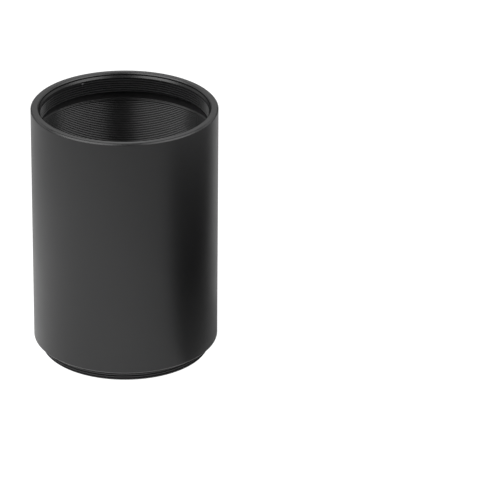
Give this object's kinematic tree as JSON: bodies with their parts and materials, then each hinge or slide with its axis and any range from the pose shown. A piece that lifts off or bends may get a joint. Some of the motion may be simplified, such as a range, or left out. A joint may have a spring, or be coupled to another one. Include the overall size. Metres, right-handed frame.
{
  "type": "riflescope sunshade",
  "caption": "Screw-on tubular lens hood for a riflescope, with a female filter thread at the mouth, an anti-glare threaded bore and a male-threaded rear collar.",
  "frame": {"origin": "centre of the male-threaded collar's rear end face", "axes": "+Z along the axis towards the front mouth; +Y and +X are arbitrary, the part is a body of revolution"},
  "size_m": [0.057, 0.057, 0.08],
  "materials": {
    "anodised_tube": "bead-blasted, matte black anodised",
    "anodised_collar": "turned, black anodised"
  },
  "bodies": {
    "root": {"hood_tube": "anodised_tube", "rear_thread_collar": "anodised_collar"}
  },
  "joints": []
}
